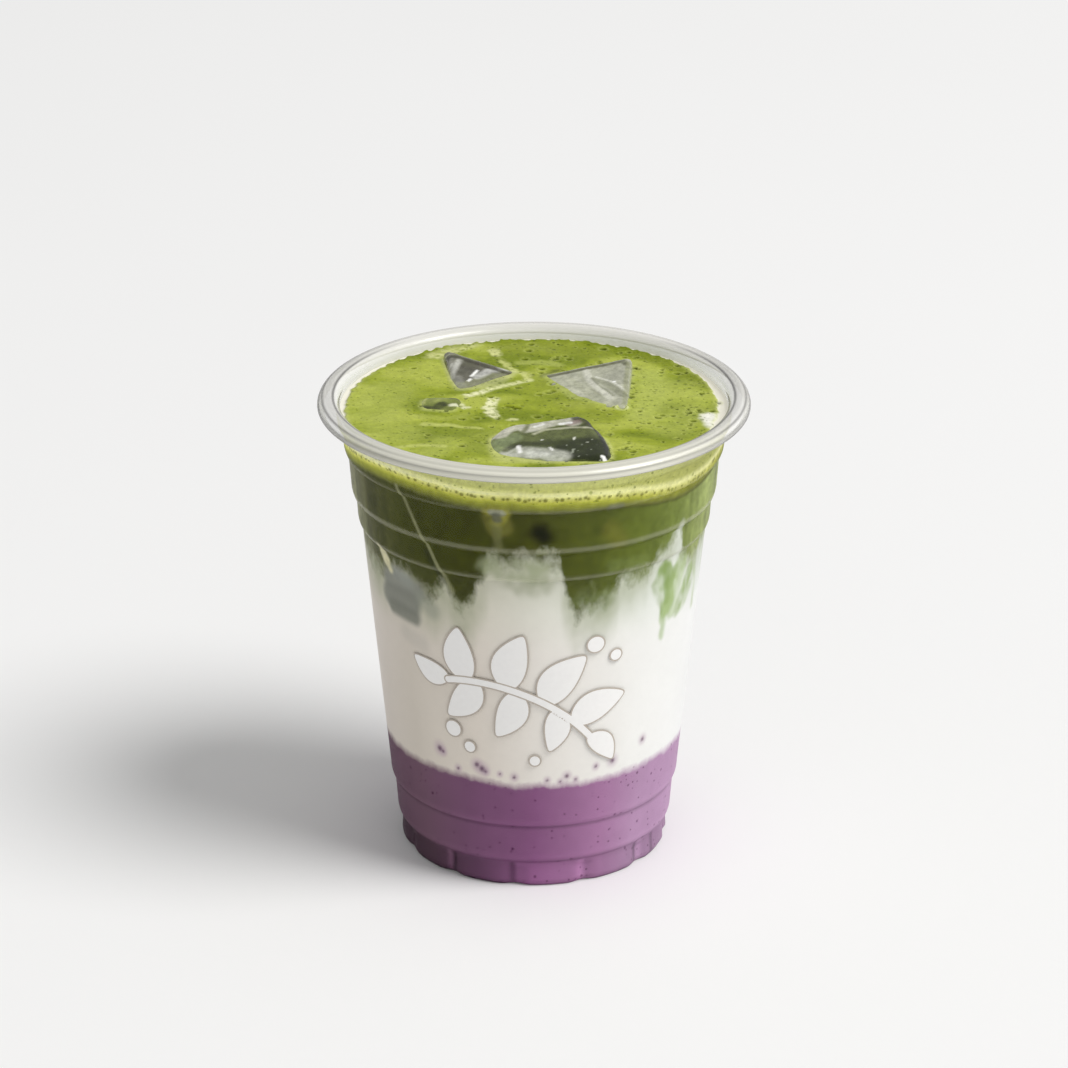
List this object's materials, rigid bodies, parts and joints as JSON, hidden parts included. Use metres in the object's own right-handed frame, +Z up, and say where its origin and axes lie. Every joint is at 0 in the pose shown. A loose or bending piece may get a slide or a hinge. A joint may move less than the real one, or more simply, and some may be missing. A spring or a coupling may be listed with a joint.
{
  "type": "iced taro matcha latte in a disposable cup",
  "caption": "Layered iced drink of taro, milk and green tea with floating ice, in a clear cup with a rolled rim, stepped bands and a fluted foot.",
  "frame": {"origin": "centre of the circle on which the foot stands, at floor level", "axes": "+Z up along the cup's axis, -Y towards the side that the picture shows, +X to its right"},
  "size_m": [0.098, 0.098, 0.109],
  "materials": {
    "cup_clear": "clear thin thermoformed plastic, glossy",
    "froth": "fine green tea foam with small bubbles",
    "matcha": "dark green tea, clouded with milk at its lower edge",
    "milk": "white milk",
    "taro": "purple taro milk with fine dark specks",
    "ice": "wet clear ice with cloudy parts"
  },
  "bodies": {
    "root": {"cup": "cup_clear", "froth": "froth", "matcha_layer": "matcha", "milk_layer": "milk", "taro_layer": "taro", "ice_front": "ice", "ice_back_left": "ice", "ice_back_right": "ice", "ice_small": "ice"}
  },
  "joints": []
}
